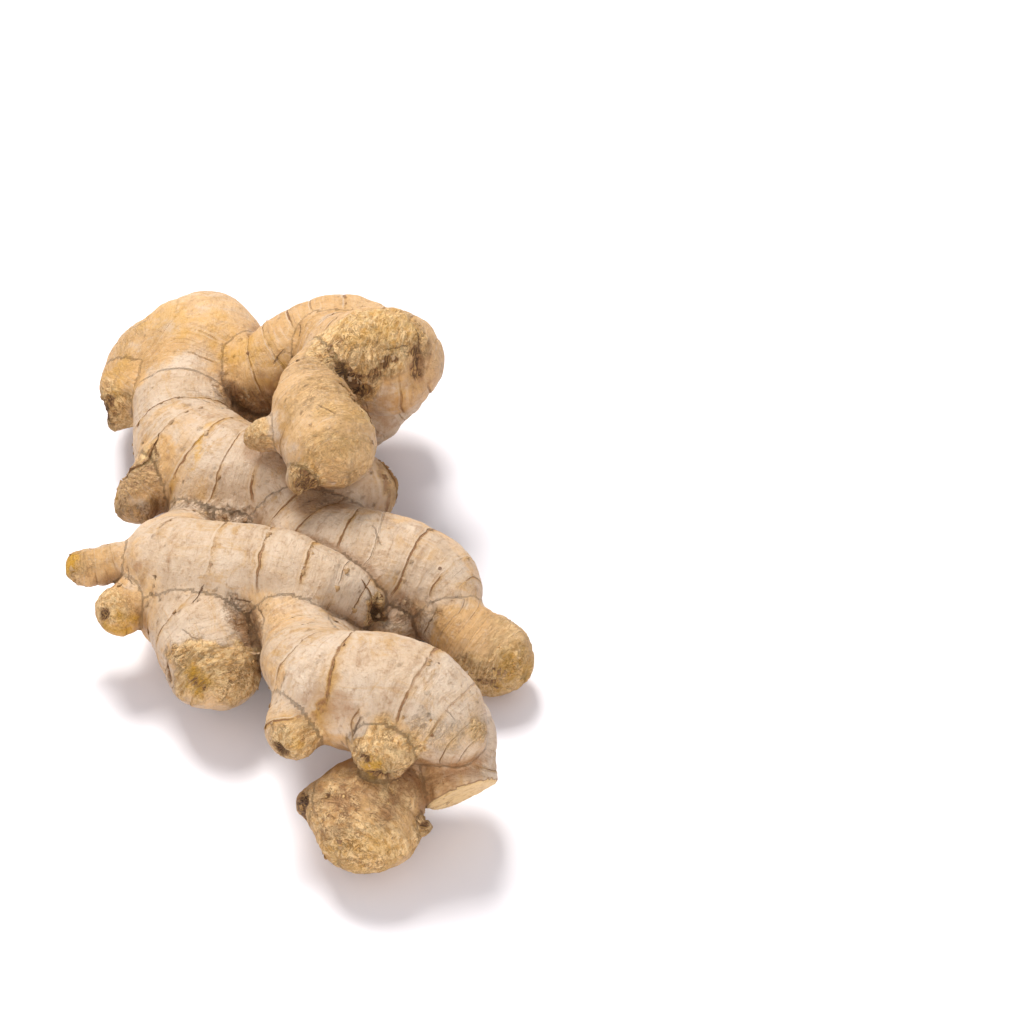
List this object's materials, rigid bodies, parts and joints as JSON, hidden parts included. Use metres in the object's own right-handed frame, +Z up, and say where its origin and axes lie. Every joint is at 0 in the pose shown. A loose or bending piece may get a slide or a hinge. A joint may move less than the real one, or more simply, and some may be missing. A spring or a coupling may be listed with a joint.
{
  "type": "ginger rhizome",
  "caption": "Fresh branched hand of ginger with swollen ringed knobs, stubby fingers, corky tips and a cut end, lying flat.",
  "frame": {"origin": "on the surface that the hand lies on, under the middle of its outline", "axes": "+Z up from the surface; +Y along the hand's length, from the front knob to the two back knobs; +X towards the finger that lies on the right"},
  "size_m": [0.1088, 0.1818, 0.0519],
  "materials": {
    "ginger_skin": "matte papery skin with corky tips"
  },
  "bodies": {
    "root": {"rhizome": "ginger_skin"}
  },
  "joints": []
}
